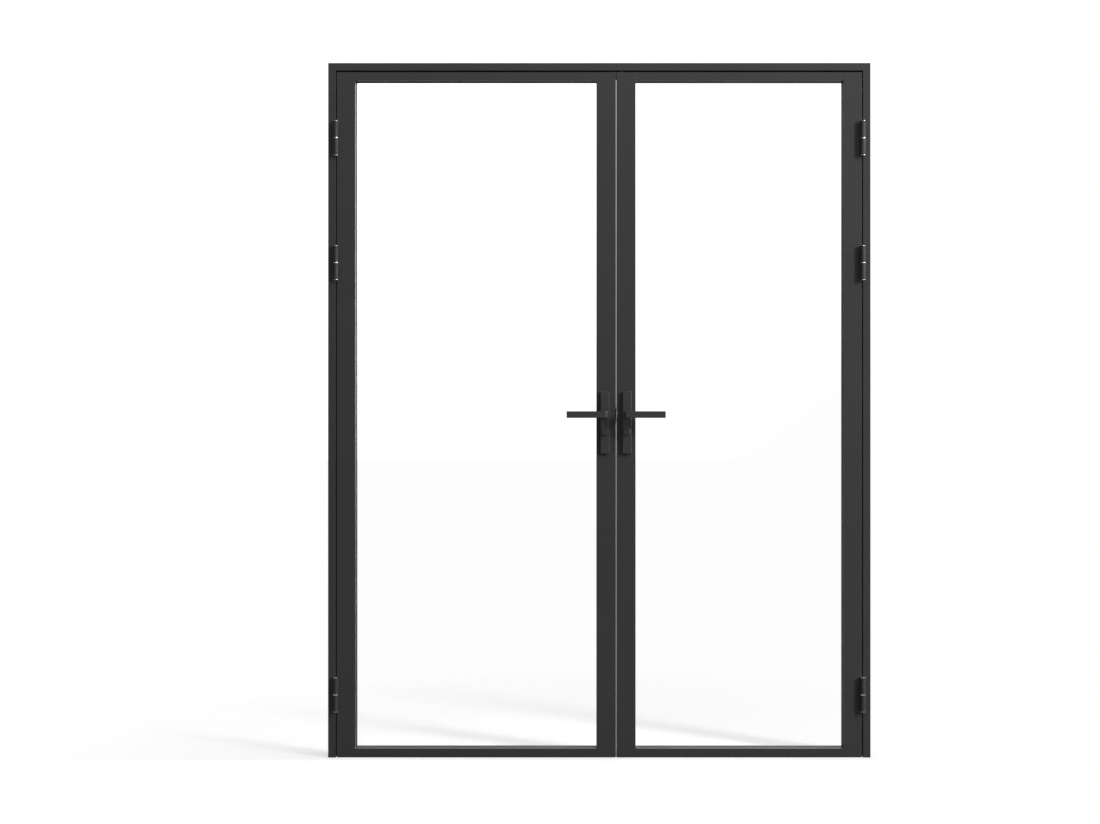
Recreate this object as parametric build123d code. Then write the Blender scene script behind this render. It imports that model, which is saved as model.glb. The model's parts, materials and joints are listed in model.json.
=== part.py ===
from build123d import *
import math
import os

# Glazed steel double doors in a three-sided frame, closed.
# X runs along the opening, Y from the hinge side to the back, Z up.
# The origin is on the floor, midway between the jambs and in the middle of the leaves' depth.
# All sizes are in millimetres and angles in degrees.

# Frame: two jambs and a head of one folded section, with a stop behind the leaves
frame_width = 1640.0
frame_height = 2100.0
frame_face = 23.0
frame_depth = 70.0
frame_wall = 2.0
frame_edge_radius = 0.8
foot_plate = 3.0
stop_height = 15.5
stop_depth = 16.5
stop_seal_width = 8.0
stop_seal_clearance = 0.3
fixing_hole_radius = 4.25
jamb_fixing_heights = (350.0, 800.0, 1250.0, 1700.0)
head_fixing_offset = 500.0

# Gaps round the leaves
side_gap = 3.0
top_gap = 5.0
floor_gap = 2.5
meeting_gap = 1.5
meeting_gap_centre = 50.4

# Leaves: hollow stiles and rails with a fixed lip in front and beads behind the glass
leaf_depth = 50.0
hinge_stile_sight = 56.0
meeting_stile_sight = 58.5
rail_sight = 24.8
profile_wall = 2.0
profile_edge_radius = 0.6
end_plate = 3.0
meeting_bevel = 2.0
rebate_height = 12.0
lip_depth = 19.0

# Glazing
glass_thickness = 8.0
glass_cover = 8.0
seal_thickness = 3.0
seal_setback = 1.0
seal_foot = 1.0
bead_wall = 1.5
bead_chamfer = 1.0
block_length = 100.0
block_inset = 90.0

# Hinges: a lower half on the jamb and an upper half on the leaf, on a headed pin
lower_hinge_height = 192.0
middle_hinge_drop = 605.0
upper_hinge_drop = 228.4
hinge_radius = 8.0
hinge_height = 105.0
hinge_standoff = 1.0
hinge_wing_thickness = 2.4
hinge_wing_reach = 33.0
hinge_wing_corner = 5.0
hinge_edge_chamfer = 0.6
hinge_pin_radius = 4.0
hinge_pin_clearance = 0.05
hinge_cap_thickness = 1.5
hinge_cap_chamfer = 0.6
hinge_washer_thickness = 3.0
hinge_end_play = 0.2
hinge_screw_inset = 12.0
hinge_screw_setback = 17.0

# Hinge screws
hinge_screw_radius = 2.5
hinge_screw_head_radius = 4.6
hinge_screw_head_depth = 2.1
hinge_screw_length = 14.0
screw_clearance = 0.1
screw_socket_radius = 1.6
screw_socket_depth = 1.2

# Door furniture, the same on both faces of both leaves
furniture_backset = 32.55
lever_height = 1037.0
turn_drop = 52.0
plate_width = 28.0
plate_height = 188.0
plate_centre_drop = 24.5
plate_thickness = 10.0
plate_corner_radius = 3.0
plate_edge_radius = 2.4
lever_reach = 115.0
lever_bar_height = 20.0
lever_bar_thickness = 16.0
lever_projection = 48.0
lever_bend_radius = 7.0
lever_inner_radius = 4.0
lever_edge_radius = 1.0
lever_collar_radius = 10.5
lever_collar_height = 2.5
lever_boss_radius = 9.0
lever_boss_length = 6.0
lever_socket_depth = 25.0
furniture_lift = 0.3
bearing_clearance = 0.05
spindle_width = 8.0
spindle_clearance = 0.1
spindle_hole_radius = 10.0

# Thumb turns
turn_radius = 11.0
turn_projection = 12.0
turn_chamfer = 1.5
turn_slot_width = 2.4
turn_slot_depth = 1.6
turn_stem_radius = 6.0
turn_stem_length = 8.0
turn_socket_depth = 7.0
turn_spindle_width = 5.0

# Bolts that clamp the two plates of a leaf together
plate_bolt_inset = 16.5
plate_bolt_radius = 2.5
plate_bolt_head_radius = 4.8
plate_bolt_head_depth = 2.6
plate_bolt_grip = 7.0
plate_bolt_hole_radius = 3.0

# Lock case in each meeting stile, with its face plate in the edge
case_lower_gap = 10.0
case_upper_gap = 15.0
case_half_depth = 9.0
case_wall = 1.5
case_rear_wall = 1.0
case_rear_offset = 11.65
case_seat_gap = 0.05
case_flange = 3.0
case_flange_overhang = 14.0
case_spindle_radius = 6.5
faceplate_width = 20.0
faceplate_thickness = 3.0
faceplate_overhang = 15.0
edge_screw_radius = 2.0
edge_screw_head_radius = 3.8
edge_screw_head_depth = 1.8
edge_screw_length = 9.0
edge_screw_inset = 7.0

# Follower of the active leaf and the latch bolt that it draws back
follower_radius = 7.5
follower_half_depth = 4.5
follower_boss_radius = 7.0
follower_finger_reach = 12.0
follower_finger_radius = 2.5
follower_finger_lean = 30.0
latch_height = 17.0
latch_depth = 12.0
latch_projection = 10.0
latch_back = 19.0
latch_nose_flat = 3.0
latch_nose_chamfer = 1.0
latch_tail_low = 7.6
latch_tail_high = 15.0
latch_tail_near = 5.0
latch_tail_far = 7.0
latch_shoulder = 4.0
latch_lug_low = 10.4
latch_lug_face = 2.8
latch_lug_thickness = 3.0
bolt_hole_clearance = 0.3

# Cam of the active leaf's turn and the deadbolt that it throws
cam_hub_radius = 5.5
cam_boss_radius = 5.0
cam_finger_reach = 8.49
cam_finger_radius = 2.0
cam_half_turn = 45.0
deadbolt_height = 17.0
deadbolt_depth = 12.0
deadbolt_back = 9.0
deadbolt_shy = 0.1
deadbolt_shoulder = 4.9
deadbolt_tail_low = 7.0
deadbolt_tail_high = 13.5
deadbolt_tail_half_depth = 4.0
deadbolt_tail_end = 10.1
deadbolt_notch_top = 11.2
notch_clearance = 0.5

# Strike on the passive leaf, with a curled lip in front
strike_height = 57.0
strike_thickness = 1.5
strike_proud = 0.5
strike_back = 12.0
strike_hole_depth = 14.0
strike_hole_height = 18.5
strike_screw_offset = 23.5
lip_height = 41.0
lip_radius = 2.4
lip_lead = 0.6
lip_curl = 45.0
lip_stand = 1.0

# Crank of the passive leaf's turn and the two shoot rods that it moves
crank_disc_radius = 10.2
crank_disc_low = -5.0
crank_disc_high = -2.0
crank_pin_reach = 8.4
crank_pin_radius = 2.0
crank_pin_end = 3.0
rod_radius = 4.0
rod_offset = 16.7
rod_hole_clearance = 0.3
rod_tip_setback = 1.0
rod_tip_chamfer = 1.0
yoke_inner = 5.8
yoke_outer = 10.0
yoke_low = -1.5
yoke_back = 3.4
yoke_high = 5.4
yoke_prong = 2.0
yoke_slot_reach = 10.9
cross_bar_top = 13.0
cross_bar_height = 7.0

# Bush that the top rod enters in the head
bush_wall = 2.2
bush_flange = 2.0
bush_flange_thickness = 1.5
bush_length = 12.0
bush_clearance = 0.4

# Planes worked out from the sizes above
front = -leaf_depth / 2
back = leaf_depth / 2
frame_back = front + frame_depth
stop_front = frame_back - stop_depth
jamb_outer = frame_width / 2
leaf_hinge_edge = jamb_outer - frame_face - side_gap
leaf_top = frame_height - frame_face - top_gap
leaf_low = floor_gap
lip_back = front + lip_depth
glass_front = lip_back + seal_thickness
glass_back = glass_front + glass_thickness
bead_front = glass_back + seal_thickness
hinge_axis_y = front - hinge_standoff - hinge_radius
hinge_axis_x = leaf_hinge_edge + side_gap / 2
turn_height = lever_height - turn_drop
hinge_heights = (lower_hinge_height, frame_height - middle_hinge_drop, frame_height - upper_hinge_drop)
plate_middle = lever_height - plate_centre_drop
plate_low = plate_middle - plate_height / 2
plate_high = plate_middle + plate_height / 2
plate_bolt_levels = (plate_low + plate_bolt_inset, plate_high - plate_bolt_inset)
case_low = plate_bolt_levels[0] + case_lower_gap
case_high = plate_bolt_levels[1] - case_upper_gap
spindle_seat = spindle_width + 2 * spindle_clearance
crank_pin_offset = crank_pin_reach * math.sin(math.radians(cam_half_turn))

parts = {}


def block(x, y, z):
    """Box between two values on each axis, each pair in any order."""
    low = [min(pair) for pair in (x, y, z)]
    size = [abs(pair[1] - pair[0]) for pair in (x, y, z)]
    return Pos(*low) * Box(*size, align=(Align.MIN, Align.MIN, Align.MIN))


def bar_x(x, y, z, radius):
    """Round bar along X between the two values in x."""
    return Pos(sum(x) / 2, y, z) * Rot(0, 90, 0) * Cylinder(radius, abs(x[1] - x[0]))


def bar_y(x, y, z, radius):
    """Round bar along Y between the two values in y."""
    return Pos(x, sum(y) / 2, z) * Rot(90, 0, 0) * Cylinder(radius, abs(y[1] - y[0]))


def bar_z(x, y, z, radius):
    """Round bar along Z between the two values in z."""
    return Pos(x, y, sum(z) / 2) * Cylinder(radius, abs(z[1] - z[0]))


def section(outline, radii):
    """Flat outline; radii gives a radius for each corner that is rounded, by the corner's number."""
    face = make_face(Polyline(*outline, close=True))
    for number, radius in radii.items():
        corner = face.vertices().sort_by_distance(outline[number])[0]
        face = fillet(corner, radius)
    return face


def upright(outline, z, radii={}):
    """Prism along Z on an outline in plan."""
    face = Pos(0, 0, min(z)) * section(outline, radii)
    return extrude(face, amount=abs(z[1] - z[0]), dir=(0, 0, 1))


def level(outline, x, radii={}):
    """Prism along X on an outline of (y, z) points."""
    face = Pos(min(x), 0, 0) * (Plane.YZ * section(outline, radii))
    return extrude(face, amount=abs(x[1] - x[0]), dir=(1, 0, 0))


def screw(point, direction, radius, head_radius, head_depth, length, grow=0.0, socket=True):
    """Countersunk screw whose head lies flush at point and whose shank runs along direction."""
    head = Cone(radius + grow, head_radius + grow, head_depth, align=(Align.CENTER, Align.CENTER, Align.MAX))
    shank = Cylinder(radius + grow, length + grow, align=(Align.CENTER, Align.CENTER, Align.MAX))
    body = head + shank
    if socket:
        recess = extrude(RegularPolygon(screw_socket_radius, 6), amount=-screw_socket_depth)
        body = body - recess
    return Plane(origin=point, z_dir=[-value for value in direction]) * body


def hinge_screw(point, direction, grow=0.0, socket=True):
    """One of the screws that hold a hinge wing."""
    return screw(point, direction, hinge_screw_radius, hinge_screw_head_radius,
                 hinge_screw_head_depth, hinge_screw_length, grow, socket)


def edge_screw(point, direction, grow=0.0, socket=True):
    """One of the screws in a face plate or a strike."""
    return screw(point, direction, edge_screw_radius, edge_screw_head_radius,
                 edge_screw_head_depth, edge_screw_length, grow, socket)


def single(shape):
    """The shape's one solid."""
    return shape.solids()[0]


def group(shapes):
    """Several separate solids as one node."""
    return Compound([single(shape) for shape in shapes])


# Frame
frame_radii = {corner: frame_edge_radius for corner in (0, 1, 3, 4, 5)}


def frame_section(inset):
    """Frame outline as (distance in from the outer edge, y), drawn in by a wall."""
    face_edge = frame_face - inset
    stop_edge = frame_face + stop_height - inset
    return [(inset, front + inset), (face_edge, front + inset), (face_edge, stop_front + inset),
            (stop_edge, stop_front + inset), (stop_edge, frame_back - inset), (inset, frame_back - inset)]


def head_space():
    """Room of the head between its mitres, which the jambs leave free."""
    reach = 2 * frame_depth
    outline = [(-jamb_outer, frame_height), (jamb_outer, frame_height),
               (jamb_outer - reach, frame_height - reach), (reach - jamb_outer, frame_height - reach)]
    face = Plane.XZ * make_face(Polyline(*outline, close=True))
    return extrude(Pos(0, front, 0) * face, amount=frame_depth, dir=(0, 1, 0))


def jamb(side):
    """Hollow jamb, mitred at the top and closed at the foot."""
    outer = [(side * (jamb_outer - a), y) for a, y in frame_section(0.0)]
    inner = [(side * (jamb_outer - a), y) for a, y in frame_section(frame_wall)]
    shape = upright(outer, (0, frame_height), frame_radii)
    shape -= upright(inner, (foot_plate, frame_height))
    shape -= head_space()
    rebate = side * (jamb_outer - frame_face)
    for height in jamb_fixing_heights:
        shape -= bar_x((side * jamb_outer, rebate), 0, height, fixing_hole_radius)
    for point in hinge_screw_points(side, lower=True):
        shape -= hinge_screw(point, (side, 0, 0), grow=screw_clearance, socket=False)
    return single(shape)


def head():
    """Hollow head, mitred at both ends, with the bore for the rod's bush."""
    outer = [(y, frame_height - a) for a, y in frame_section(0.0)]
    inner = [(y, frame_height - a) for a, y in frame_section(frame_wall)]
    shape = level(outer, (-jamb_outer, jamb_outer), frame_radii)
    shape -= level(inner, (-jamb_outer, jamb_outer))
    shape = shape & head_space()
    rebate = frame_height - frame_face
    for side in (-1, 1):
        shape -= bar_z(side * head_fixing_offset, 0, (rebate, frame_height), fixing_hole_radius)
    return single(shape - bar_z(rod_x, 0, (rebate, rebate + frame_wall), bush_radius))


def stop_seal():
    """Sealing strip on the three stops, a rounded bead on the side of the leaves."""
    nose = back + stop_seal_clearance
    low = frame_face + (stop_height - stop_seal_width) / 2
    high = low + stop_seal_width
    outline = [(low, stop_front), (low, nose), (high, nose), (high, stop_front)]
    shape = level([(y, frame_height - a) for a, y in outline], (-jamb_outer, jamb_outer)) & head_space()
    for side in (-1, 1):
        strip = [(side * (jamb_outer - a), y) for a, y in outline]
        shape += upright(strip, (0, frame_height)) - head_space()
    rims = shape.faces().sort_by(Axis.Y)[0].edges().filter_by(lambda edge: edge.length > frame_width / 2)
    return single(fillet(rims, stop_seal_width / 4))


# Hinges
def hinge_levels(height):
    """Heights of the lower half's ends, the washer's top and the upper half's ends, from below."""
    half = hinge_height / 2 - hinge_cap_thickness
    washer = hinge_washer_thickness / 2
    return (height - half, height - washer, height + washer, height + washer + hinge_end_play,
            height + half - hinge_end_play)


def hinge_screw_points(side, lower):
    """Points where the screw heads lie flush in the wings of one side's hinges."""
    if lower:
        x = side * (leaf_hinge_edge + side_gap - hinge_wing_thickness)
    else:
        x = side * (leaf_hinge_edge + hinge_wing_thickness)
    points = []
    for height in hinge_heights:
        levels = hinge_levels(height)
        ends = levels[0:2] if lower else levels[3:5]
        for z in (ends[0] + hinge_screw_inset, ends[1] - hinge_screw_inset):
            points.append((x, front + hinge_screw_setback, z))
    return points


def hinge_half(side, height, lower):
    """Barrel half with its wing in the gap between leaf and jamb."""
    levels = hinge_levels(height)
    ends = levels[0:2] if lower else levels[3:5]
    axis_x = side * hinge_axis_x
    seat = leaf_hinge_edge + side_gap if lower else leaf_hinge_edge
    reach = -hinge_wing_thickness if lower else hinge_wing_thickness
    barrel = bar_z(axis_x, hinge_axis_y, ends, hinge_radius)
    barrel = chamfer(barrel.edges().filter_by(GeomType.CIRCLE), hinge_edge_chamfer)
    wing_end = hinge_axis_y + hinge_wing_reach + hinge_radius
    wing = block((side * seat, side * (seat + reach)), (hinge_axis_y, wing_end), ends)
    corners = wing.edges().filter_by(Axis.X).sort_by(Axis.Y)[-2:]
    wing = fillet(corners, hinge_wing_corner)
    shape = barrel + wing
    shape -= bar_z(axis_x, hinge_axis_y, ends, hinge_pin_radius + hinge_pin_clearance)
    direction = (side if lower else -side, 0, 0)
    for point in hinge_screw_points(side, lower):
        if ends[0] < point[2] < ends[1]:
            shape -= hinge_screw(point, direction, grow=screw_clearance, socket=False)
    return shape


def hinge_pin(side, height):
    """Pin with a chamfered cap at each end, turned in one piece."""
    half = hinge_height / 2
    shoulder = half - hinge_cap_thickness
    rim = half - hinge_cap_chamfer
    upper = [(0, shoulder), (hinge_radius, shoulder), (hinge_radius, rim),
             (hinge_radius - hinge_cap_chamfer, half), (0, half)]
    cap = revolve(Plane.XZ * make_face(Polyline(*upper, close=True)), Axis.Z)
    pin = Cylinder(hinge_pin_radius, 2 * shoulder) + cap + mirror(cap, Plane.XY)
    return Pos(side * hinge_axis_x, hinge_axis_y, height) * pin


def hinge_washer(side, height):
    """Washer that carries the leaf's half on the jamb's half."""
    faces = hinge_levels(height)[1:3]
    axis_x = side * hinge_axis_x
    bore = bar_z(axis_x, hinge_axis_y, faces, hinge_pin_radius + hinge_pin_clearance)
    return bar_z(axis_x, hinge_axis_y, faces, hinge_radius) - bore


# Leaves
class Leaf:
    """Places that follow from which side a leaf hangs on; offsets run towards the meeting edge."""

    def __init__(self, name, side):
        self.name = name
        self.side = side
        self.inward = -side
        self.hinge_edge = side * leaf_hinge_edge
        self.meeting_edge = meeting_gap_centre + side * meeting_gap / 2
        self.sight_hinge = self.hinge_edge + self.inward * hinge_stile_sight
        self.sight_meeting = self.meeting_edge - self.inward * meeting_stile_sight
        self.floor_hinge = self.sight_hinge - self.inward * rebate_height
        self.floor_meeting = self.sight_meeting + self.inward * rebate_height
        self.axis_x = self.meeting_edge - self.inward * furniture_backset

    def at(self, offset):
        """X of a point that lies offset from the furniture axis towards the meeting edge."""
        return self.axis_x + self.inward * offset

    def edge_at(self, y):
        """X of the bevelled meeting edge at a depth."""
        return self.meeting_edge - self.inward * meeting_bevel * (y - front) / leaf_depth

    def edge_strip(self, y, proud, depth, z):
        """Plate along the bevelled meeting edge, from proud of it to a depth below it."""
        low = self.edge_at(y[0])
        high = self.edge_at(y[1])
        outline = [(low + self.inward * proud, y[0]), (high + self.inward * proud, y[1]),
                   (high - self.inward * depth, y[1]), (low - self.inward * depth, y[0])]
        return upright(outline, z)


leaf_radii = {corner: profile_edge_radius for corner in (0, 1, 2, 4, 5)}


def profile_section(sight, bevel, inset):
    """Leaf outline as (distance in from the outer edge, y), drawn in by a wall."""
    tube = sight - rebate_height
    return [(inset, front + inset), (sight - inset, front + inset), (sight - inset, lip_back - inset),
            (tube - inset, lip_back - inset), (tube - inset, back - inset), (bevel + inset, back - inset)]


def stile(edge, inward, sight, bevel):
    """Hollow stile with the fixed glazing lip, closed at both ends."""
    outer = [(edge + inward * a, y) for a, y in profile_section(sight, bevel, 0.0)]
    inner = [(edge + inward * a, y) for a, y in profile_section(sight, bevel, profile_wall)]
    shape = upright(outer, (leaf_low, leaf_top), leaf_radii)
    return shape - upright(inner, (leaf_low + end_plate, leaf_top - end_plate))


def hinge_stile(leaf):
    """Hinge stile with the holes for its hinge screws."""
    shape = stile(leaf.hinge_edge, leaf.inward, hinge_stile_sight, 0.0)
    for point in hinge_screw_points(leaf.side, lower=False):
        shape -= hinge_screw(point, (leaf.inward, 0, 0), grow=screw_clearance, socket=False)
    return single(shape)


def meeting_stile(leaf):
    """Meeting stile with the pocket for the lock and the holes for the furniture."""
    shape = stile(leaf.meeting_edge, -leaf.inward, meeting_stile_sight, meeting_bevel)
    half = faceplate_width / 2
    shape -= leaf.edge_strip((-half, half), profile_wall, 2 * profile_wall,
                             (case_low - faceplate_overhang, case_high + faceplate_overhang))
    faces = (front - profile_wall, back + profile_wall)
    shape -= bar_y(leaf.axis_x, faces, lever_height, spindle_hole_radius)
    shape -= bar_y(leaf.axis_x, faces, turn_height, turn_stem_radius + screw_clearance)
    for z in plate_bolt_levels:
        shape -= bar_y(leaf.axis_x, faces, z, plate_bolt_hole_radius)
    if leaf.side > 0:
        shape -= strike_recess(leaf)
        for z in ((leaf_low, leaf_low + end_plate), (leaf_top - end_plate, leaf_top)):
            shape -= bar_z(rod_x, 0, z, rod_radius + rod_hole_clearance)
    return single(shape)


def rail(leaf, top):
    """Hollow rail, coped at both ends round the lips of the stiles."""
    edge = leaf_top if top else leaf_low
    towards = -1 if top else 1
    outer = [(y, edge + towards * a) for a, y in profile_section(rail_sight, 0.0, 0.0)]
    inner = [(y, edge + towards * a) for a, y in profile_section(rail_sight, 0.0, profile_wall)]
    ends = (leaf.floor_hinge, leaf.floor_meeting)
    shape = level(outer, ends, leaf_radii) - level(inner, ends)
    for sight, end in zip((leaf.sight_hinge, leaf.sight_meeting), ends):
        shape -= block((sight, end), (front, lip_back), (leaf_low, leaf_top))
    return single(shape)


def glazing_ring(leaf, outer, inner, y):
    """Ring round the glass, its outer and inner edges set back from the sight line."""
    low = leaf_low + rail_sight
    high = leaf_top - rail_sight
    frames = []
    for setback in (outer, inner):
        x = (leaf.sight_hinge - leaf.inward * setback, leaf.sight_meeting + leaf.inward * setback)
        frames.append(block(x, y, (low - setback, high + setback)))
    return frames[0] - frames[1]


def glass(leaf):
    """Single pane, held in the rebate all round."""
    x = (leaf.sight_hinge - leaf.inward * glass_cover, leaf.sight_meeting + leaf.inward * glass_cover)
    z = (leaf_low + rail_sight - glass_cover, leaf_top - rail_sight + glass_cover)
    return single(block(x, (glass_front, glass_back), z))


def glazing_seals(leaf):
    """Rubber ring in front of the glass and another behind it."""
    foot = rebate_height - seal_foot
    return group([glazing_ring(leaf, foot, seal_setback, (lip_back, glass_front)),
                  glazing_ring(leaf, foot, seal_setback, (glass_back, bead_front))])


def bead_section():
    """Bead outline as (height above the rebate floor, y): a channel open to the floor."""
    rim = rebate_height
    skin = rim - bead_wall
    outside = [(0, bead_front), (rim, bead_front), (rim, back - bead_chamfer),
               (rim - bead_chamfer, back), (0, back)]
    inside = [(0, back - bead_wall), (skin, back - bead_wall), (skin, bead_front + bead_wall),
              (0, bead_front + bead_wall)]
    return outside + inside


def glazing_beads(leaf):
    """Four snap-on beads: the level ones run from stile to stile, the upright ones between them."""
    floors = (leaf.floor_hinge, leaf.floor_meeting)
    low = leaf_low + rail_sight
    high = leaf_top - rail_sight
    beads = []
    beads.append(level([(y, low - rebate_height + h) for h, y in bead_section()], floors))
    beads.append(level([(y, high + rebate_height - h) for h, y in bead_section()], floors))
    for floor, towards in zip(floors, (leaf.inward, -leaf.inward)):
        beads.append(upright([(floor + towards * h, y) for h, y in bead_section()], (low, high)))
    return group(beads)


def setting_blocks(leaf):
    """Two packers that carry the glass on the bottom rail."""
    z = (leaf_low + rail_sight - rebate_height, leaf_low + rail_sight - glass_cover)
    blocks = []
    for sight, towards in ((leaf.sight_hinge, leaf.inward), (leaf.sight_meeting, -leaf.inward)):
        start = sight + towards * block_inset
        blocks.append(block((start, start + towards * block_length), (glass_front, glass_back), z))
    return group(blocks)


# Furniture
def to_face(face, out):
    """Y of a point that stands out from a leaf face; face is -1 in front and 1 behind."""
    return face * (leaf_depth / 2 + out)


def plate(leaf, face):
    """Long plate with rounded edges, bored for the lever and the turn."""
    y = (to_face(face, 0), to_face(face, plate_thickness))
    half = plate_width / 2
    shape = block((leaf.axis_x - half, leaf.axis_x + half), y, (plate_low, plate_high))
    shape = fillet(shape.edges().filter_by(Axis.Y), plate_corner_radius)
    rim = shape.faces().sort_by(Axis.Y)[0 if face < 0 else -1]
    shape = fillet(rim.edges(), plate_edge_radius)
    shape -= bar_y(leaf.axis_x, y, lever_height, lever_boss_radius + bearing_clearance)
    shape -= bar_y(leaf.axis_x, y, turn_height, turn_stem_radius + bearing_clearance)
    for z in plate_bolt_levels:
        shape -= plate_bolt(leaf, z, grow=screw_clearance, socket=False)
    return single(shape)


def plate_bolt(leaf, z, grow=0.0, socket=True):
    """Bolt from the back plate through the stile into the front plate."""
    length = plate_thickness + leaf_depth + plate_bolt_grip - screw_clearance
    return screw((leaf.axis_x, to_face(1, plate_thickness), z), (0, -1, 0), plate_bolt_radius,
                 plate_bolt_head_radius, plate_bolt_head_depth, length, grow, socket)


def lever(leaf, face):
    """Square bar bent at the pivot, with a collar and a boss that turns in the plate."""
    seat = plate_thickness + furniture_lift
    tip = plate_thickness + lever_projection
    inner = tip - lever_bar_thickness
    half = lever_bar_thickness / 2
    outline = [(half, seat), (half, tip), (-lever_reach, tip), (-lever_reach, inner), (-half, inner),
               (-half, seat)]
    plan = [(leaf.at(u), to_face(face, v)) for u, v in outline]
    low = lever_height - lever_bar_height / 2
    shape = upright(plan, (low, low + lever_bar_height), {1: lever_bend_radius, 4: lever_inner_radius})
    shape = fillet(shape.edges(), lever_edge_radius)
    collar = (to_face(face, seat), to_face(face, seat + lever_collar_height))
    boss = (to_face(face, plate_thickness - lever_boss_length), to_face(face, seat))
    shape += bar_y(leaf.axis_x, collar, lever_height, lever_collar_radius)
    shape += bar_y(leaf.axis_x, boss, lever_height, lever_boss_radius)
    socket = spindle_seat / 2
    shape -= block((leaf.axis_x - socket, leaf.axis_x + socket),
                   (to_face(face, 0), to_face(face, plate_thickness + lever_socket_depth)),
                   (lever_height - socket, lever_height + socket))
    return single(shape)


def spindle(leaf):
    """Square bar that joins the two levers."""
    half = spindle_width / 2
    reach = plate_thickness + lever_socket_depth - furniture_lift
    return single(block((leaf.axis_x - half, leaf.axis_x + half), (to_face(-1, reach), to_face(1, reach)),
                        (lever_height - half, lever_height + half)))


def turn(leaf, face):
    """Round turn with a chamfered rim, a slot across it and a stem through the plate."""
    seat = plate_thickness + furniture_lift
    top = plate_thickness + turn_projection
    knob = bar_y(leaf.axis_x, (to_face(face, seat), to_face(face, top)), turn_height, turn_radius)
    rim = knob.edges().filter_by(GeomType.CIRCLE).sort_by(Axis.Y)[0 if face < 0 else -1]
    knob = chamfer(rim, turn_chamfer)
    stem = (to_face(face, plate_thickness - turn_stem_length), to_face(face, seat))
    knob += bar_y(leaf.axis_x, stem, turn_height, turn_stem_radius)
    half = turn_slot_width / 2
    slot = (to_face(face, top - turn_slot_depth), to_face(face, top))
    knob -= block((leaf.axis_x - half, leaf.axis_x + half), slot,
                  (turn_height - turn_radius, turn_height + turn_radius))
    hole = turn_spindle_width / 2 + spindle_clearance
    knob -= block((leaf.axis_x - hole, leaf.axis_x + hole),
                  (to_face(face, 0), to_face(face, plate_thickness + turn_socket_depth)),
                  (turn_height - hole, turn_height + hole))
    return single(knob)


def turn_spindle(leaf):
    """Square bar that joins the two turns."""
    half = turn_spindle_width / 2
    reach = plate_thickness + turn_socket_depth - furniture_lift
    return block((leaf.axis_x - half, leaf.axis_x + half), (to_face(-1, reach), to_face(1, reach)),
                 (turn_height - half, turn_height + half))


# Locks
def lock_case(leaf):
    """Steel case, open to the face plate, with a flange that carries the face plate's screws."""
    case_rear = -case_rear_offset
    case_front = abs(leaf.edge_at(faceplate_width / 2) - leaf.axis_x) - faceplate_thickness - case_seat_gap
    depth = (-case_half_depth, case_half_depth)
    shape = block((leaf.at(case_rear), leaf.at(case_front)), depth, (case_low, case_high))
    shape += block((leaf.at(case_front - case_flange), leaf.at(case_front)), depth,
                   (case_low - case_flange_overhang, case_high + case_flange_overhang))
    inside = case_half_depth - case_wall
    shape -= block((leaf.at(case_rear + case_rear_wall), leaf.at(case_front)), (-inside, inside),
                   (case_low + case_wall, case_high - case_wall))
    lever_bearing = follower_boss_radius if leaf.side < 0 else case_spindle_radius
    shape -= bar_y(leaf.axis_x, depth, lever_height, lever_bearing + bearing_clearance)
    shape -= bar_y(leaf.axis_x, depth, turn_height, cam_boss_radius + bearing_clearance)
    if leaf.side > 0:
        shape -= bar_z(rod_x, 0, (case_low, case_high), rod_radius + rod_hole_clearance)
    for point in faceplate_screw_points(leaf):
        shape -= edge_screw(point, (-leaf.inward, 0, 0), grow=screw_clearance, socket=False)
    return single(shape)


def faceplate_screw_points(leaf):
    """Points where the face plate's screw heads lie flush."""
    low = case_low - faceplate_overhang + edge_screw_inset
    high = case_high + faceplate_overhang - edge_screw_inset
    return [(leaf.edge_at(0), 0, low), (leaf.edge_at(0), 0, high)]


def bolt_openings(leaf, depth, clearance):
    """Space that the latch bolt and the deadbolt pass through in a plate."""
    reach = (leaf.meeting_edge + leaf.inward * depth, leaf.meeting_edge - leaf.inward * depth)
    half_latch = latch_height / 2 + clearance
    half_bolt = deadbolt_height / 2 + clearance
    latch = block(reach, (-latch_depth / 2 - clearance, latch_depth / 2 + clearance),
                  (lever_height - half_latch, lever_height + half_latch))
    bolt = block(reach, (-deadbolt_depth / 2 - clearance, deadbolt_depth / 2 + clearance),
                 (turn_height - half_bolt, turn_height + half_bolt))
    return latch + bolt


def faceplate(leaf):
    """Plate in the leaf's edge that closes the lock case and guides or receives the bolts."""
    half = faceplate_width / 2
    shape = leaf.edge_strip((-half, half), 0.0, faceplate_thickness,
                            (case_low - faceplate_overhang, case_high + faceplate_overhang))
    clearance = bolt_hole_clearance if leaf.side < 0 else 2 * bolt_hole_clearance
    shape -= bolt_openings(leaf, 2 * faceplate_thickness, clearance)
    for point in faceplate_screw_points(leaf):
        shape -= edge_screw(point, (-leaf.inward, 0, 0), grow=screw_clearance, socket=False)
    if leaf.side > 0:
        shape -= strike_recess(leaf)
        for point in strike_screw_points(leaf):
            shape -= edge_screw(point, (-leaf.inward, 0, 0), grow=screw_clearance, socket=False)
    return single(shape)


def finger(x, z, reach, lean, radius, y):
    """Round-ended finger from an axis, leaning by an angle from upright towards +X."""
    tip_x = x + reach * math.sin(math.radians(lean))
    tip_z = z + reach * math.cos(math.radians(lean))
    shank = block((-radius, radius), y, (0, reach))
    shank = Pos(x, 0, z) * Rot(0, lean, 0) * shank
    return shank + bar_y(tip_x, y, tip_z, radius)


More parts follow.
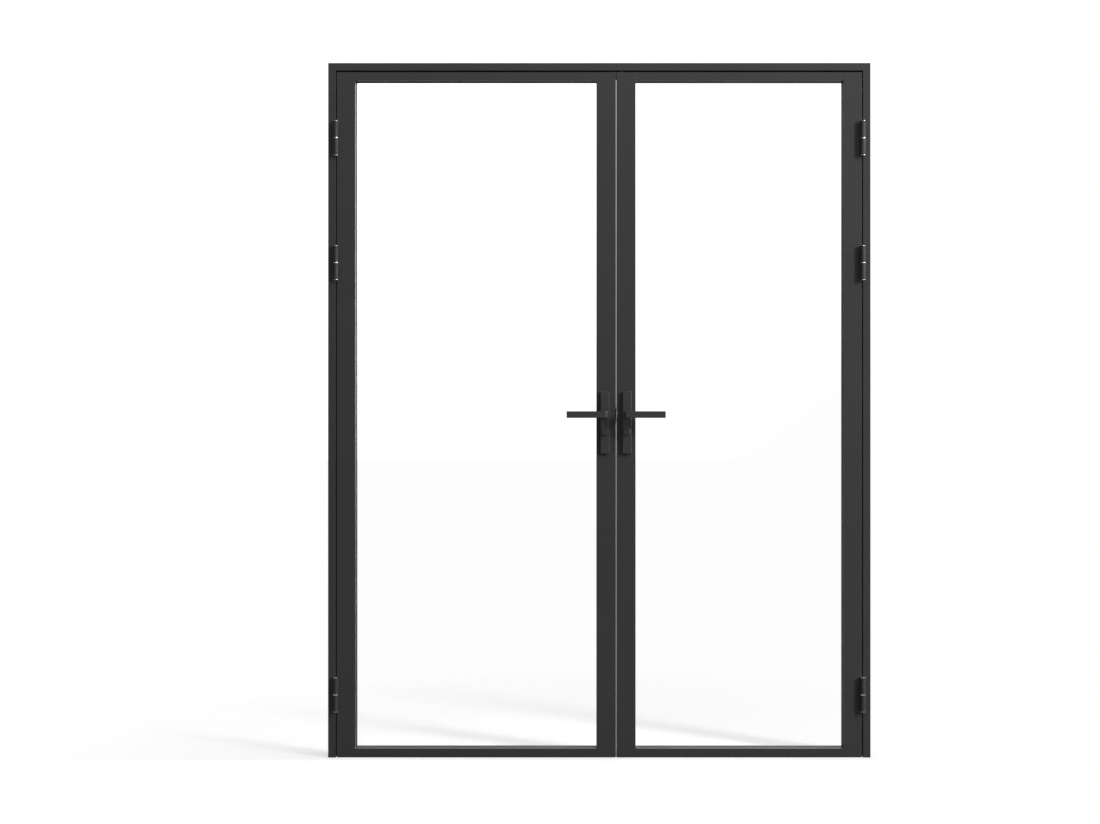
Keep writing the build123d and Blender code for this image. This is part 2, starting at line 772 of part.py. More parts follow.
def follower(leaf):
    """Hub that the spindle turns, with the finger that draws the latch back."""
    body = (-follower_half_depth, follower_half_depth)
    shape = bar_y(leaf.axis_x, body, lever_height, follower_radius)
    shape += bar_y(leaf.axis_x, (-case_half_depth, case_half_depth), lever_height, follower_boss_radius)
    shape += finger(leaf.axis_x, lever_height, follower_finger_reach, leaf.inward * follower_finger_lean,
                    follower_finger_radius, body)
    half = spindle_seat / 2
    shape -= block((leaf.axis_x - half, leaf.axis_x + half), (-case_half_depth, case_half_depth),
                   (lever_height - half, lever_height + half))
    return single(shape)


def latch_bolt(leaf):
    """Latch with its nose bevelled towards the back, and the tail that the follower draws."""
    half = latch_depth / 2
    tip = furniture_backset + latch_projection
    bevel_start = tip - latch_projection + meeting_gap / 2
    outline = [(latch_back, -half), (tip - latch_nose_chamfer, -half), (tip, -half + latch_nose_chamfer),
               (tip, -half + latch_nose_flat), (bevel_start, half), (latch_back, half)]
    shape = upright([(leaf.at(u), y) for u, y in outline],
                    (lever_height - latch_height / 2, lever_height + latch_height / 2))
    tail = (lever_height + latch_tail_low, lever_height + latch_tail_high)
    shoulder = leaf.at(latch_back + latch_shoulder)
    shape += block((leaf.at(latch_back), shoulder), (-half, latch_tail_far), tail)
    lug_end = latch_lug_face - latch_lug_thickness
    shape += block((leaf.at(lug_end), shoulder), (latch_tail_near, latch_tail_far), tail)
    shape += block((leaf.at(lug_end), leaf.at(latch_lug_face)), (-follower_half_depth, latch_tail_far),
                   (lever_height + latch_lug_low, tail[1]))
    return single(shape)


def turn_cam(leaf):
    """Cam and spindle of the active leaf's turn."""
    body = (-follower_half_depth, follower_half_depth)
    shape = turn_spindle(leaf)
    shape += bar_y(leaf.axis_x, body, turn_height, cam_hub_radius)
    shape += bar_y(leaf.axis_x, (-case_half_depth, case_half_depth), turn_height, cam_boss_radius)
    shape += finger(leaf.axis_x, turn_height, cam_finger_reach, -cam_half_turn, cam_finger_radius,
                    (-deadbolt_tail_half_depth, deadbolt_tail_half_depth))
    return single(shape)


def deadbolt(leaf):
    """Deadbolt drawn back in the case, with the notched tail that the cam's finger moves."""
    half = deadbolt_depth / 2
    tip = abs(leaf.edge_at(half) - leaf.axis_x) - deadbolt_shy
    shape = block((leaf.at(deadbolt_back), leaf.at(tip)), (-half, half),
                  (turn_height - deadbolt_height / 2, turn_height + deadbolt_height / 2))
    tail_depth = (-deadbolt_tail_half_depth, deadbolt_tail_half_depth)
    shape += block((leaf.at(-deadbolt_tail_end), leaf.at(deadbolt_back + deadbolt_shoulder)), tail_depth,
                   (turn_height + deadbolt_tail_low, turn_height + deadbolt_tail_high))
    centre = -cam_finger_reach * math.sin(math.radians(cam_half_turn))
    gap = cam_finger_radius + notch_clearance
    shape -= block((leaf.at(centre - gap), leaf.at(centre + gap)), tail_depth,
                   (turn_height + deadbolt_tail_low, turn_height + deadbolt_notch_top))
    return single(shape)


# Strike
def strike_recess(leaf):
    """Shallow bed of the strike in the passive leaf's edge."""
    z = (lever_height - strike_height / 2, lever_height + strike_height / 2)
    y = (front - profile_wall, strike_back)
    return leaf.edge_strip(y, profile_wall, strike_thickness - strike_proud, z)


def strike_screw_points(leaf):
    """Points where the strike's screw heads lie flush."""
    x = leaf.edge_at(0) + leaf.inward * strike_proud
    return [(x, 0, lever_height - strike_screw_offset), (x, 0, lever_height + strike_screw_offset)]


def strike_plate(leaf):
    """Strike with a hole for the latch and a lip that curls round the leaf's front corner."""
    z = (lever_height - strike_height / 2, lever_height + strike_height / 2)
    shape = leaf.edge_strip((front, strike_back), strike_proud, strike_thickness - strike_proud, z)
    half = strike_hole_height / 2
    reach = (leaf.meeting_edge - leaf.side * meeting_gap,
             leaf.meeting_edge + leaf.side * 2 * strike_thickness)
    shape -= block(reach, (-strike_hole_depth / 2, strike_hole_depth / 2),
                   (lever_height - half, lever_height + half))
    for point in strike_screw_points(leaf):
        shape -= edge_screw(point, (-leaf.inward, 0, 0), grow=screw_clearance, socket=False)
    return single(shape + strike_lip(leaf))


def strike_lip(leaf):
    """Tongue that stands over the gap and curls past the front, cut to a low arc in front view."""
    face_x = leaf.edge_at(front) + leaf.inward * (strike_proud + lip_lead)
    centre_x = face_x + leaf.side * lip_radius
    centre_y = front - lip_stand
    z = (lever_height - lip_height / 2, lever_height + lip_height / 2)
    ring = bar_z(centre_x, centre_y, z, lip_radius)
    ring -= bar_z(centre_x, centre_y, z, lip_radius - strike_thickness)
    far = 2 * lip_radius
    past = far * math.tan(math.radians(lip_curl))
    sector = upright([(centre_x, centre_y), (centre_x - leaf.side * far, centre_y),
                      (centre_x - leaf.side * far, centre_y - far),
                      (centre_x + leaf.side * past, centre_y - far)], z)
    stem = block((face_x, face_x + leaf.side * strike_thickness), (centre_y, front), z)
    half = lip_height / 2
    reach = lip_radius * (1 + math.sin(math.radians(lip_curl)))
    bow_radius = (half ** 2 + reach ** 2) / (2 * reach)
    bow_x = face_x + leaf.side * (reach - bow_radius)
    bow = bar_y(bow_x, (front + half, front - half), lever_height, bow_radius)
    return ((ring & sector) + stem) & bow


# Shoot rods of the passive leaf
def yoke(leaf, inner, outer, pin_z):
    """Block between two offsets, with a level slot in front for a crank pin and a web behind."""
    gap = crank_pin_radius + notch_clearance
    reach = math.copysign(yoke_slot_reach, outer)
    shape = block((leaf.at(inner), leaf.at(outer)), (yoke_low, yoke_high),
                  (pin_z - gap - yoke_prong, pin_z + gap + yoke_prong))
    return shape - block((leaf.at(0), leaf.at(reach)), (yoke_low, yoke_back), (pin_z - gap, pin_z + gap))


def turn_crank(leaf):
    """Crank and spindle of the passive leaf's turn, with a pin for each rod."""
    shape = turn_spindle(leaf)
    shape += bar_y(leaf.axis_x, (crank_disc_low, follower_half_depth), turn_height, cam_hub_radius)
    shape += bar_y(leaf.axis_x, (-case_half_depth, case_half_depth), turn_height, cam_boss_radius)
    shape += bar_y(leaf.axis_x, (crank_disc_low, crank_disc_high), turn_height, crank_disc_radius)
    for towards in (-1, 1):
        shape += bar_y(leaf.at(towards * crank_pin_offset), (crank_disc_low, crank_pin_end),
                       turn_height - towards * crank_pin_offset, crank_pin_radius)
    return single(shape)


def rod(tip, foot):
    """Round rod whose tip is chamfered."""
    bar = bar_z(rod_x, 0, (tip, foot), rod_radius)
    rims = bar.edges().filter_by(GeomType.CIRCLE).sort_by(Axis.Z)
    return chamfer(rims[-1 if tip > foot else 0], rod_tip_chamfer)


def top_rod(leaf):
    """Rod from the crank's pin on the meeting edge's side up to the head."""
    pin_z = turn_height - crank_pin_offset
    foot = pin_z - crank_pin_radius - notch_clearance - yoke_prong
    shape = rod(leaf_top - rod_tip_setback, foot)
    return single(shape + yoke(leaf, yoke_inner, rod_offset, pin_z))


def bottom_rod(leaf):
    """Rod from the crank's other pin, round below the crank and down to the floor."""
    pin_z = turn_height + crank_pin_offset
    bar_top = turn_height - cross_bar_top
    bar_low = bar_top - cross_bar_height
    shape = rod(leaf_low + rod_tip_setback, bar_top)
    shape += block((leaf.at(-yoke_outer), rod_x), (yoke_low, yoke_high), (bar_low, bar_top))
    shape += block((leaf.at(-yoke_inner), leaf.at(-yoke_outer)), (yoke_back, yoke_high), (bar_low, pin_z))
    return single(shape + yoke(leaf, -yoke_inner, -yoke_outer, pin_z))


def head_bush():
    """Flanged bush in the head that receives the top rod."""
    seat = frame_height - frame_face
    shape = bar_z(rod_x, 0, (seat, seat + bush_length), bush_radius - screw_clearance)
    shape += bar_z(rod_x, 0, (seat - bush_flange_thickness, seat), bush_radius + bush_flange)
    return single(shape - bar_z(rod_x, 0, (seat - bush_flange_thickness, seat + bush_length),
                                rod_radius + bush_clearance))


# Nodes
left = Leaf("left", -1)
right = Leaf("right", 1)
rod_x = right.at(rod_offset)
bush_radius = rod_radius + bush_clearance + bush_wall

parts["left_jamb"] = jamb(-1)
parts["right_jamb"] = jamb(1)
parts["frame_head"] = head()
parts["frame_seal"] = stop_seal()
parts["head_bush"] = head_bush()

for leaf in (left, right):
    name = leaf.name
    side = leaf.side
    parts[name + "_frame_hinge_halves"] = group([hinge_half(side, height, True) for height in hinge_heights])
    parts[name + "_leaf_hinge_halves"] = group([hinge_half(side, height, False) for height in hinge_heights])
    parts[name + "_leaf_hinge_screws"] = group([hinge_screw(point, (leaf.inward, 0, 0))
                                                for point in hinge_screw_points(side, lower=False)])
    parts[name + "_hinge_stile"] = hinge_stile(leaf)
    parts[name + "_meeting_stile"] = meeting_stile(leaf)
    parts[name + "_top_rail"] = rail(leaf, top=True)
    parts[name + "_bottom_rail"] = rail(leaf, top=False)
    parts[name + "_glass"] = glass(leaf)
    parts[name + "_glazing_seals"] = glazing_seals(leaf)
    parts[name + "_glazing_beads"] = glazing_beads(leaf)
    parts[name + "_setting_blocks"] = setting_blocks(leaf)
    parts[name + "_front_plate"] = plate(leaf, -1)
    parts[name + "_back_plate"] = plate(leaf, 1)
    parts[name + "_plate_bolts"] = group([plate_bolt(leaf, z) for z in plate_bolt_levels])
    parts[name + "_front_lever"] = lever(leaf, -1)
    parts[name + "_back_lever"] = lever(leaf, 1)
    parts[name + "_lever_spindle"] = spindle(leaf)
    parts[name + "_front_turn"] = turn(leaf, -1)
    parts[name + "_back_turn"] = turn(leaf, 1)
    parts[name + "_lock_case"] = lock_case(leaf)
    parts[name + "_lock_faceplate"] = faceplate(leaf)

sides = (-1, 1)
parts["hinge_pins"] = group([hinge_pin(side, height) for side in sides for height in hinge_heights])
parts["hinge_washers"] = group([hinge_washer(side, height) for side in sides for height in hinge_heights])
parts["frame_hinge_screws"] = group([hinge_screw(point, (side, 0, 0)) for side in sides
                                     for point in hinge_screw_points(side, lower=True)])

parts["left_edge_screws"] = group([edge_screw(point, (-left.inward, 0, 0))
                                   for point in faceplate_screw_points(left)])
parts["left_follower"] = follower(left)
parts["left_latch_bolt"] = latch_bolt(left)
parts["left_turn_cam"] = turn_cam(left)
parts["left_deadbolt"] = deadbolt(left)

parts["right_strike_plate"] = strike_plate(right)
parts["right_edge_screws"] = group([edge_screw(point, (-right.inward, 0, 0))
                                    for point in faceplate_screw_points(right) + strike_screw_points(right)])
parts["right_turn_crank"] = turn_crank(right)
parts["right_top_rod"] = top_rod(right)
parts["right_bottom_rod"] = bottom_rod(right)

os.makedirs("parts", exist_ok=True)
for name, shape in parts.items():
    export_step(shape, os.path.join("parts", name + ".step"))
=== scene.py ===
import json
import math

import bpy
import numpy as np
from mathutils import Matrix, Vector

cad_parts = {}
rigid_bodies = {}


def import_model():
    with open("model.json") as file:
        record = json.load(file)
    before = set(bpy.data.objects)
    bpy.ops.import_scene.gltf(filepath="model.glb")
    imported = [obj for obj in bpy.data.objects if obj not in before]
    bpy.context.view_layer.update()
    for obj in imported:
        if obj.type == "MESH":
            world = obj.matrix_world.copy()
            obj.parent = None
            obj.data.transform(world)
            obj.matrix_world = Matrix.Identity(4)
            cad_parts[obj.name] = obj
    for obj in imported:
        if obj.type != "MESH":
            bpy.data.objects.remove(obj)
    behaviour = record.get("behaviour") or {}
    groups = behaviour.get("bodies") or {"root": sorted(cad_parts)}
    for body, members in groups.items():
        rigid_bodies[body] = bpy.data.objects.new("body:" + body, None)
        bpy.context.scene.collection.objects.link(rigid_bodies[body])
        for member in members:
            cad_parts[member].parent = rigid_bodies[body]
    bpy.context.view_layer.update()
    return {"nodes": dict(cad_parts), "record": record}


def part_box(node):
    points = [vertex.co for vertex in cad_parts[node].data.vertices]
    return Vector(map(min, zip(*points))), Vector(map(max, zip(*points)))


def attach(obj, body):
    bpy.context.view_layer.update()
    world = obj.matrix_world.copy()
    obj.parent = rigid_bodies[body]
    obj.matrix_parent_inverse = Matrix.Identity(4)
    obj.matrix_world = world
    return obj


# Glazed steel double doors in their frame, dressed and lit as in a bright studio.
# Metres; X along the opening, Y from the hinge side to the back, Z up.
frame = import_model()

# Camera: square on to the doors, its axis right of the picture's middle
picture_width = 1100
picture_height = 824
camera_distance = 5.0
camera_height = 1.0507
axis_pixel = (599.3, 410.0)
focal_pixels = 1654.0
sensor_millimetres = 36.0

# Key lamp: degrees to the right of straight before the doors and degrees up, then metres and watts
key_way = 56.0
key_rise = 23.0
key_distance = 6.5
key_aim = (0.0, 0.0, 1.0)
key_width = 0.9
key_height = 2.8
key_power = 338.0

# Top lamp
top_place = (0.3, -1.9, 3.6)
top_aim = (0.3, 0.0, 1.4)
top_width = 4.0
top_height = 0.9
top_power = 17.0

# Sky: lobes of light, each the way to its middle, its level and its sharpness. The fill lights matt
# surfaces, and the gloss is what reflections show.
soft = 5.0
firm = 8.0
tight = 12.0
narrow = 20.0
fill_lobes = {
    "upper right": ((1.0, 0.0, 1.0), 1.1, soft),
    "right": ((1.0, -0.2, 0.3), 3.2, narrow),
    "upper front": ((0.0, -0.4, 1.0), 0.3, soft),
    "rear": ((-0.2, 1.0, 0.4), 1.8, soft),
}
gloss_base = 0.02
gloss_lobes = {
    "front": ((0.0, -1.0, 0.0), 0.06, soft),
    "raised front": ((0.1, -1.0, 0.55), 0.65, tight),
    "top": ((0.0, 0.0, 1.0), 0.82, soft),
    "rear right": ((1.0, 1.0, 0.0), 5.0, firm),
    "raised rear": ((0.0, 1.0, 0.8), 1.7, tight),
}

# Powder coat: noise scales and detail, and pairs of how far the noise moves a value and its level at none
coat_grain = 900.0
coat_depth = 0.00002
coat_detail = 2.0
coat_bump = 0.5
coat_speck = (0.30, 0.85)
drift_scale = 2.3
drift_detail = 3.0
drift_cloud = (0.16, 0.92)
drift_sheen = (0.12, -0.06)

# Bare metal: the same for its drawn lines
line_stretch = (60.0, 60.0, 3000.0)
line_depth = 0.00001
line_detail = 3.0
line_bump = 0.4
line_tone = (0.5, 0.75)
line_sheen = (0.16, -0.08)

# Coated and moulded finishes: grey, blue cast, roughness, specular level and grain
grained = {
    "frame_coat": (0.041, 0.03, 0.40, 0.30, coat_grain),
    "leaf_coat": (0.041, 0.03, 0.40, 0.30, coat_grain),
    "bead_coat": (0.040, 0.03, 0.40, 0.30, coat_grain),
    "hinge_coat": (0.043, 0.03, 0.50, 0.20, coat_grain),
    "furniture_coat": (0.029, 0.03, 0.38, 0.60, coat_grain),
    "black_rubber": (0.030, 0.0, 0.75, 0.30, 1500.0),
    "packer_plastic": (0.09, 0.0, 0.55, 0.40, coat_grain),
}

# Bare metals: red, green and blue, and roughness
drawn = {
    "bright_steel": ((0.72, 0.72, 0.7056), 0.28),
    "zinc_steel": ((0.55, 0.55, 0.561), 0.38),
    "dark_steel": ((0.10, 0.10, 0.102), 0.40),
    "brass_bush": ((0.60, 0.44, 0.20), 0.35),
}

# Glass
glass_tint = (0.996, 0.999, 0.998, 1.0)
glass_index = 1.25

# Blades: a dark blade under each leaf, painted shade that blackens the gap over the floor, and a rubber blade
# in the meeting gap
blade_steps = 7
blade_bow = 0.0002
blade_root = 0.0012
blade_edge = 0.0006
under_shade_sink = 0.0006
under_shade_inset = 0.0015
under_shade_root = 0.004
under_shade_tip = 0.0025
under_shade_share = 0.12
meeting_sink = 0.0014
meeting_setback = 0.013
meeting_lean = 0.0012
meeting_clearance = 0.0007

# Floor
floor_reach = 30.0
floor_tone = 0.08
floor_veil = 0.50
floor_glow = 0.415
floor_gloss = 0.3
shadow_reach = 0.5
shadow_fade = 1.2
front_fade = 0.05

# Ray depths are whole numbers, so a depth above this means at least one bounce
some_bounce = 0.5


# Nodes
def add(tree, kind, **settings):
    """New node with its settings."""
    node = tree.nodes.new(kind)
    for name, value in settings.items():
        setattr(node, name, value)
    return node


def feed(tree, source, target):
    """Link from an output socket to an input socket."""
    tree.links.new(source, target)


def cleared(owner, kind):
    """Empty node tree of a material or a world, with its output."""
    owner.use_nodes = True
    owner.node_tree.nodes.clear()
    return owner.node_tree, add(owner.node_tree, "ShaderNodeOutput" + kind)


def math_node(tree, operation, *values):
    """Result of a math node whose inputs are sockets or numbers."""
    node = add(tree, "ShaderNodeMath", operation=operation)
    for socket, value in zip(node.inputs, values):
        if isinstance(value, (int, float)):
            socket.default_value = value
        else:
            feed(tree, value, socket)
    return node.outputs[0]


def effect_group(name, **inputs):
    """Group that turns a colour, a roughness, a depth and further inputs into colour, roughness and normal."""
    tree = bpy.data.node_groups.new(name, "ShaderNodeTree")
    for label, kind in {"Color": "Color", "Roughness": "Float", "Depth": "Float", **inputs}.items():
        tree.interface.new_socket(label, in_out="INPUT", socket_type="NodeSocket" + kind)
    for label, kind in {"Color": "Color", "Roughness": "Float", "Normal": "Vector"}.items():
        tree.interface.new_socket(label, in_out="OUTPUT", socket_type="NodeSocket" + kind)
    return tree, add(tree, "NodeGroupInput"), add(tree, "NodeGroupOutput")


def close_group(tree, given, result, tone, sheen, height, strength):
    """Outputs of an effect: the colour times tone, the roughness plus sheen, and the normal of bumps."""
    tint = add(tree, "ShaderNodeVectorMath", operation="SCALE")
    feed(tree, given.outputs["Color"], tint.inputs[0])
    feed(tree, tone, tint.inputs["Scale"])
    feed(tree, tint.outputs["Vector"], result.inputs["Color"])
    feed(tree, math_node(tree, "ADD", given.outputs["Roughness"], sheen), result.inputs["Roughness"])
    bump = add(tree, "ShaderNodeBump")
    bump.inputs["Strength"].default_value = strength
    feed(tree, given.outputs["Depth"], bump.inputs["Distance"])
    feed(tree, height, bump.inputs["Height"])
    feed(tree, bump.outputs["Normal"], result.inputs["Normal"])


def powder_grain():
    """Fine orange peel of a powder coat: small domes over a slow drift of tone and gloss."""
    tree, given, result = effect_group("powder_grain", Grain="Float")
    place = add(tree, "ShaderNodeTexCoord").outputs["Object"]
    domes = add(tree, "ShaderNodeTexNoise")
    domes.inputs["Detail"].default_value = coat_detail
    feed(tree, place, domes.inputs["Vector"])
    feed(tree, given.outputs["Grain"], domes.inputs["Scale"])
    drift = add(tree, "ShaderNodeTexNoise")
    drift.inputs["Scale"].default_value = drift_scale
    drift.inputs["Detail"].default_value = drift_detail
    feed(tree, place, drift.inputs["Vector"])
    speck = math_node(tree, "MULTIPLY_ADD", domes.outputs["Fac"], *coat_speck)
    cloud = math_node(tree, "MULTIPLY_ADD", drift.outputs["Fac"], *drift_cloud)
    tone = math_node(tree, "MULTIPLY", speck, cloud)
    sheen = math_node(tree, "MULTIPLY_ADD", drift.outputs["Fac"], *drift_sheen)
    close_group(tree, given, result, tone, sheen, domes.outputs["Fac"], coat_bump)
    return tree


def drawn_lines():
    """Fine lines left by brushing or turning: noise stretched along one axis."""
    tree, given, result = effect_group("drawn_lines", Stretch="Vector")
    spread = add(tree, "ShaderNodeVectorMath", operation="MULTIPLY")
    feed(tree, add(tree, "ShaderNodeTexCoord").outputs["Object"], spread.inputs[0])
    feed(tree, given.outputs["Stretch"], spread.inputs[1])
    noise = add(tree, "ShaderNodeTexNoise")
    noise.inputs["Scale"].default_value = 1.0
    noise.inputs["Detail"].default_value = line_detail
    feed(tree, spread.outputs["Vector"], noise.inputs["Vector"])
    tone = math_node(tree, "MULTIPLY_ADD", noise.outputs["Fac"], *line_tone)
    sheen = math_node(tree, "MULTIPLY_ADD", noise.outputs["Fac"], *line_sheen)
    close_group(tree, given, result, tone, sheen, noise.outputs["Fac"], line_bump)
    return tree


# Finishes
def grey(value, cast=0.0):
    """Grey with its blue raised by a share."""
    return (value, value, value * (1.0 + cast), 1.0)


def finish(name, group, settings, surface):
    """Material with colour, roughness and normal from a group, and its constants on the shader."""
    material = bpy.data.materials.new(name)
    tree, output = cleared(material, "Material")
    shader = add(tree, "ShaderNodeBsdfPrincipled")
    effect = add(tree, "ShaderNodeGroup", node_tree=group)
    for label, value in settings.items():
        effect.inputs[label].default_value = value
    for label, value in surface.items():
        shader.inputs[label].default_value = value
    feed(tree, effect.outputs["Color"], shader.inputs["Base Color"])
    feed(tree, effect.outputs["Roughness"], shader.inputs["Roughness"])
    feed(tree, effect.outputs["Normal"], shader.inputs["Normal"])
    feed(tree, shader.outputs["BSDF"], output.inputs["Surface"])
    return material


def clear_glass():
    """Clear float glass with a slight cast."""
    material = bpy.data.materials.new("clear_glass")
    tree, output = cleared(material, "Material")
    shader = add(tree, "ShaderNodeBsdfPrincipled")
    shader.inputs["Base Color"].default_value = glass_tint
    shader.inputs["Roughness"].default_value = 0.0
    shader.inputs["IOR"].default_value = glass_index
    shader.inputs["Transmission Weight"].default_value = 1.0
    feed(tree, shader.outputs["BSDF"], output.inputs["Surface"])
    return material


powder = powder_grain()
lines = drawn_lines()
finishes = {"clear_glass": clear_glass()}
for name, (tone, cast, roughness, specular, grain) in grained.items():
    finishes[name] = finish(
        name, powder,
        {"Color": grey(tone, cast), "Roughness": roughness, "Depth": coat_depth, "Grain": grain},
        {"Specular IOR Level": specular})
for name, (tone, roughness) in drawn.items():
    finishes[name] = finish(
        name, lines,
        {"Color": (*tone, 1.0), "Roughness": roughness, "Depth": line_depth, "Stretch": line_stretch},
        {"Metallic": 1.0})

slot_of = {entry["node"]: entry["material_slot"] for entry in frame["record"]["subparts"]}
for node, piece in frame["nodes"].items():
    piece.data.materials.clear()
    piece.data.materials.append(finishes[slot_of[node]])


# Blades round the leaves: the dark ones under the leaves are painted shade in the gap over the floor, and the
# rubber one closes the meeting gap
def new_piece(name, points, faces, material):
    """Mesh object at the origin with one material."""
    mesh = bpy.data.meshes.new(name)
    mesh.from_pydata(points.tolist(), [], faces)
    mesh.materials.append(material)
    piece = bpy.data.objects.new(name, mesh)
    bpy.context.scene.collection.objects.link(piece)
    return piece


def rubber_blade(name, body, root, tip, travel):
    """Blade along a straight path. With s from 0 at the root to 1 at the tip, its middle is
    root + s (tip - root) + 4 s (1 - s) blade_bow across, and its thickness (1 - s) blade_root + s blade_edge.
    The closed outline is carried along travel and capped at both ends."""
    root, tip, travel = (np.array(value, dtype=float) for value in (root, tip, travel))
    across = np.cross(travel, tip - root)
    across /= np.linalg.norm(across)
    share = np.linspace(0.0, 1.0, blade_steps)[:, None]
    middle = root + (tip - root) * share + across * blade_bow * 4 * share * (1 - share)
    half = across * (blade_root * (1 - share) + blade_edge * share) / 2
    outline = np.concatenate([middle + half, (middle - half)[::-1]])
    points = np.concatenate([outline, outline + travel])
    count = len(outline)
    here = np.arange(count)
    following = (here + 1) % count
    sides = np.stack([here, following, following + count, here + count], axis=1)
    faces = [list(here[::-1]), list(here + count)] + sides.tolist()
    blade = new_piece(name, points, faces, finishes["black_rubber"])
    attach(blade, body)


# Under each leaf a dark blade fills the gap above the floor: painted shade where that gap falls in shadow
for side in ("left", "right"):
    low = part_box(side + "_bottom_rail")[0]
    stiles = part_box(side + "_hinge_stile"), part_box(side + "_meeting_stile")
    start = min(stile[0][0] for stile in stiles) + under_shade_inset
    end = max(stile[1][0] for stile in stiles) - under_shade_inset
    rubber_blade(side + "_bottom_shade_blade", side + "_leaf",
                 (start, low[1] + under_shade_root, low[2] + under_shade_sink),
                 (start, low[1] + under_shade_tip, low[2] * under_shade_share),
                 (end - start, 0.0, 0.0))

low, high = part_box("left_meeting_stile")
gap_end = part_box("right_meeting_stile")[0][0]
rubber_blade("meeting_blade", "left_leaf",
             (high[0] - meeting_sink, low[1] + meeting_setback, low[2]),
             (gap_end - meeting_clearance, low[1] + meeting_setback - meeting_lean, low[2]),
             (0.0, 0.0, high[2] - low[2]))


# Stage
def seen_directly(tree):
    """Two masks, both also through glass: 1 for rays from the camera, and 1 for rays off a glossy surface."""
    path = add(tree, "ShaderNodeLightPath")
    matt = math_node(tree, "GREATER_THAN", path.outputs["Diffuse Depth"], some_bounce)
    bent = math_node(tree, "MAXIMUM", matt, path.outputs["Is Diffuse Ray"])
    smooth = math_node(tree, "SUBTRACT", 1.0, bent)
    mirrored = math_node(tree, "GREATER_THAN", path.outputs["Glossy Depth"], some_bounce)
    gloss = math_node(tree, "MULTIPLY", mirrored, smooth)
    return math_node(tree, "SUBTRACT", smooth, gloss), gloss


def sky_level(tree, lobes, base=0.0):
    """Level of the sky: base plus the sum of level exp(sharpness (cos - 1)), cos taken to a lobe's middle."""
    place = add(tree, "ShaderNodeTexCoord")
    total = base
    for way, level, sharpness in lobes.values():
        along = add(tree, "ShaderNodeVectorMath", operation="DOT_PRODUCT")
        along.inputs[1].default_value = Vector(way).normalized()
        feed(tree, place.outputs["Generated"], along.inputs[0])
        short = math_node(tree, "SUBTRACT", along.outputs["Value"], 1.0)
        fall = math_node(tree, "EXPONENT", math_node(tree, "MULTIPLY", short, sharpness))
        total = math_node(tree, "ADD", math_node(tree, "MULTIPLY", fall, level), total)
    return total


def white_world():
    """World that is white to look at, with one pattern of lobes as a light and another in reflections."""
    world = bpy.data.worlds.new("studio")
    bpy.context.scene.world = world
    tree, output = cleared(world, "World")
    background = add(tree, "ShaderNodeBackground")
    background.inputs["Color"].default_value = grey(1.0)
    direct, gloss = seen_directly(tree)
    light = add(tree, "ShaderNodeMix")
    feed(tree, gloss, light.inputs["Factor"])
    feed(tree, sky_level(tree, fill_lobes), light.inputs["A"])
    feed(tree, sky_level(tree, gloss_lobes, gloss_base), light.inputs["B"])
    feed(tree, math_node(tree, "MAXIMUM", direct, light.outputs["Result"]), background.inputs["Strength"])
    feed(tree, background.outputs["Background"], output.inputs["Surface"])


def floor_material():
    """Floor that is dark paint to matt rays. To the eye, and in part to reflections, it is a veil that takes
    shadows under a glow, and turns into plain white away from the frame's foot and before its face."""
    material = bpy.data.materials.new("studio_floor")
    tree, output = cleared(material, "Material")
    paint = add(tree, "ShaderNodeBsdfDiffuse")
    paint.inputs["Color"].default_value = grey(floor_tone)
    veil = add(tree, "ShaderNodeBsdfDiffuse")
    veil.inputs["Color"].default_value = grey(floor_veil)
    glow = add(tree, "ShaderNodeEmission")
    glow.inputs["Strength"].default_value = floor_glow
    lit = add(tree, "ShaderNodeAddShader")
    feed(tree, veil.outputs["BSDF"], lit.inputs[0])
    feed(tree, glow.outputs["Emission"], lit.inputs[1])

    place = add(tree, "ShaderNodeTexCoord").outputs["Object"]
    apart = add(tree, "ShaderNodeVectorMath", operation="LENGTH")
    feed(tree, place, apart.inputs[0])
    far = add(tree, "ShaderNodeMapRange")
    far.inputs["From Min"].default_value = shadow_reach
    far.inputs["From Max"].default_value = shadow_reach + shadow_fade
    feed(tree, apart.outputs["Value"], far.inputs["Value"])
    parts = add(tree, "ShaderNodeSeparateXYZ")
    feed(tree, place, parts.inputs["Vector"])
    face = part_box("left_jamb")[0][1]
    before = add(tree, "ShaderNodeMapRange")
    before.inputs["From Min"].default_value = face
    before.inputs["From Max"].default_value = face - front_fade
    feed(tree, parts.outputs["Y"], before.inputs["Value"])

    white = add(tree, "ShaderNodeEmission")
    bright = add(tree, "ShaderNodeMixShader")
    plain = math_node(tree, "MAXIMUM", far.outputs["Result"], before.outputs["Result"])
    feed(tree, plain, bright.inputs["Fac"])
    feed(tree, lit.outputs["Shader"], bright.inputs[1])
    feed(tree, white.outputs["Emission"], bright.inputs[2])
    direct, gloss = seen_directly(tree)
    part_gloss = math_node(tree, "MULTIPLY", gloss, floor_gloss)
    mix = add(tree, "ShaderNodeMixShader")
    feed(tree, math_node(tree, "MAXIMUM", direct, part_gloss), mix.inputs["Fac"])
    feed(tree, paint.outputs["BSDF"], mix.inputs[1])
    feed(tree, bright.outputs["Shader"], mix.inputs[2])
    feed(tree, mix.outputs["Shader"], output.inputs["Surface"])
    return material


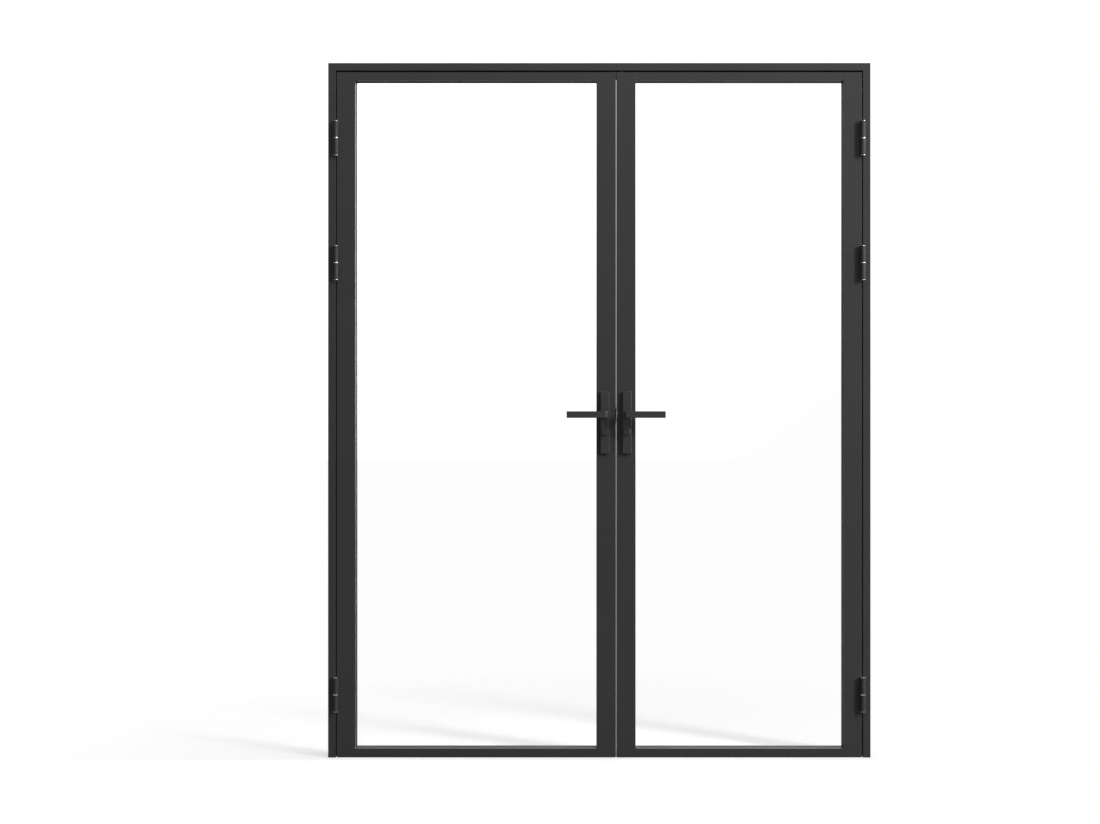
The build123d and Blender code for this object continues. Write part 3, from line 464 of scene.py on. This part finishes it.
def studio_floor():
    """Flat square of floor under the frame's feet."""
    corners = floor_reach * np.array([(-1, -1, 0), (1, -1, 0), (1, 1, 0), (-1, 1, 0)], dtype=float)
    floor = new_piece("studio_floor", corners, [(0, 1, 2, 3)], floor_material())


def round_place(aim, way, rise, distance):
    """Place at a distance from aim, turned to the right of straight before it and raised, in degrees."""
    turn, lift = math.radians(way), math.radians(rise)
    level = distance * math.cos(lift)
    return (aim[0] + level * math.sin(turn), aim[1] - level * math.cos(turn),
            aim[2] + distance * math.sin(lift))


def aimed_lamp(name, place, aim, width, height, power):
    """Upright rectangular lamp that looks at a point; clear glass throws no shadow from it."""
    lamp = bpy.data.lights.new(name, "AREA")
    lamp.shape = "RECTANGLE"
    lamp.size = width
    lamp.size_y = height
    lamp.energy = power
    holder = bpy.data.objects.new(name, lamp)
    holder.location = place
    holder.rotation_euler = (Vector(aim) - Vector(place)).to_track_quat("-Z", "Y").to_euler()
    bpy.context.scene.collection.objects.link(holder)
    shading = bpy.data.collections.new(name + "_shading")
    for piece in bpy.context.scene.objects:
        if piece.type == "MESH" and finishes["clear_glass"] not in list(piece.data.materials):
            shading.objects.link(piece)
    holder.light_linking.blocker_collection = shading


def camera():
    """Camera square on to the doors; the shift puts its axis at axis_pixel."""
    lens = bpy.data.cameras.new("camera")
    lens.sensor_width = sensor_millimetres
    lens.lens = focal_pixels / picture_width * sensor_millimetres
    lens.shift_x = (picture_width / 2 - axis_pixel[0]) / picture_width
    lens.shift_y = (axis_pixel[1] - picture_height / 2) / picture_width
    holder = bpy.data.objects.new("camera", lens)
    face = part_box("left_jamb")[0][1]
    holder.location = (0.0, face - camera_distance, camera_height)
    holder.rotation_euler = (math.pi / 2, 0.0, 0.0)
    bpy.context.scene.collection.objects.link(holder)
    bpy.context.scene.camera = holder


white_world()
studio_floor()
key_place = round_place(key_aim, key_way, key_rise, key_distance)
aimed_lamp("key", key_place, key_aim, key_width, key_height, key_power)
aimed_lamp("top", top_place, top_aim, top_width, top_height, top_power)
camera()
bpy.context.scene.view_settings.view_transform = "Standard"
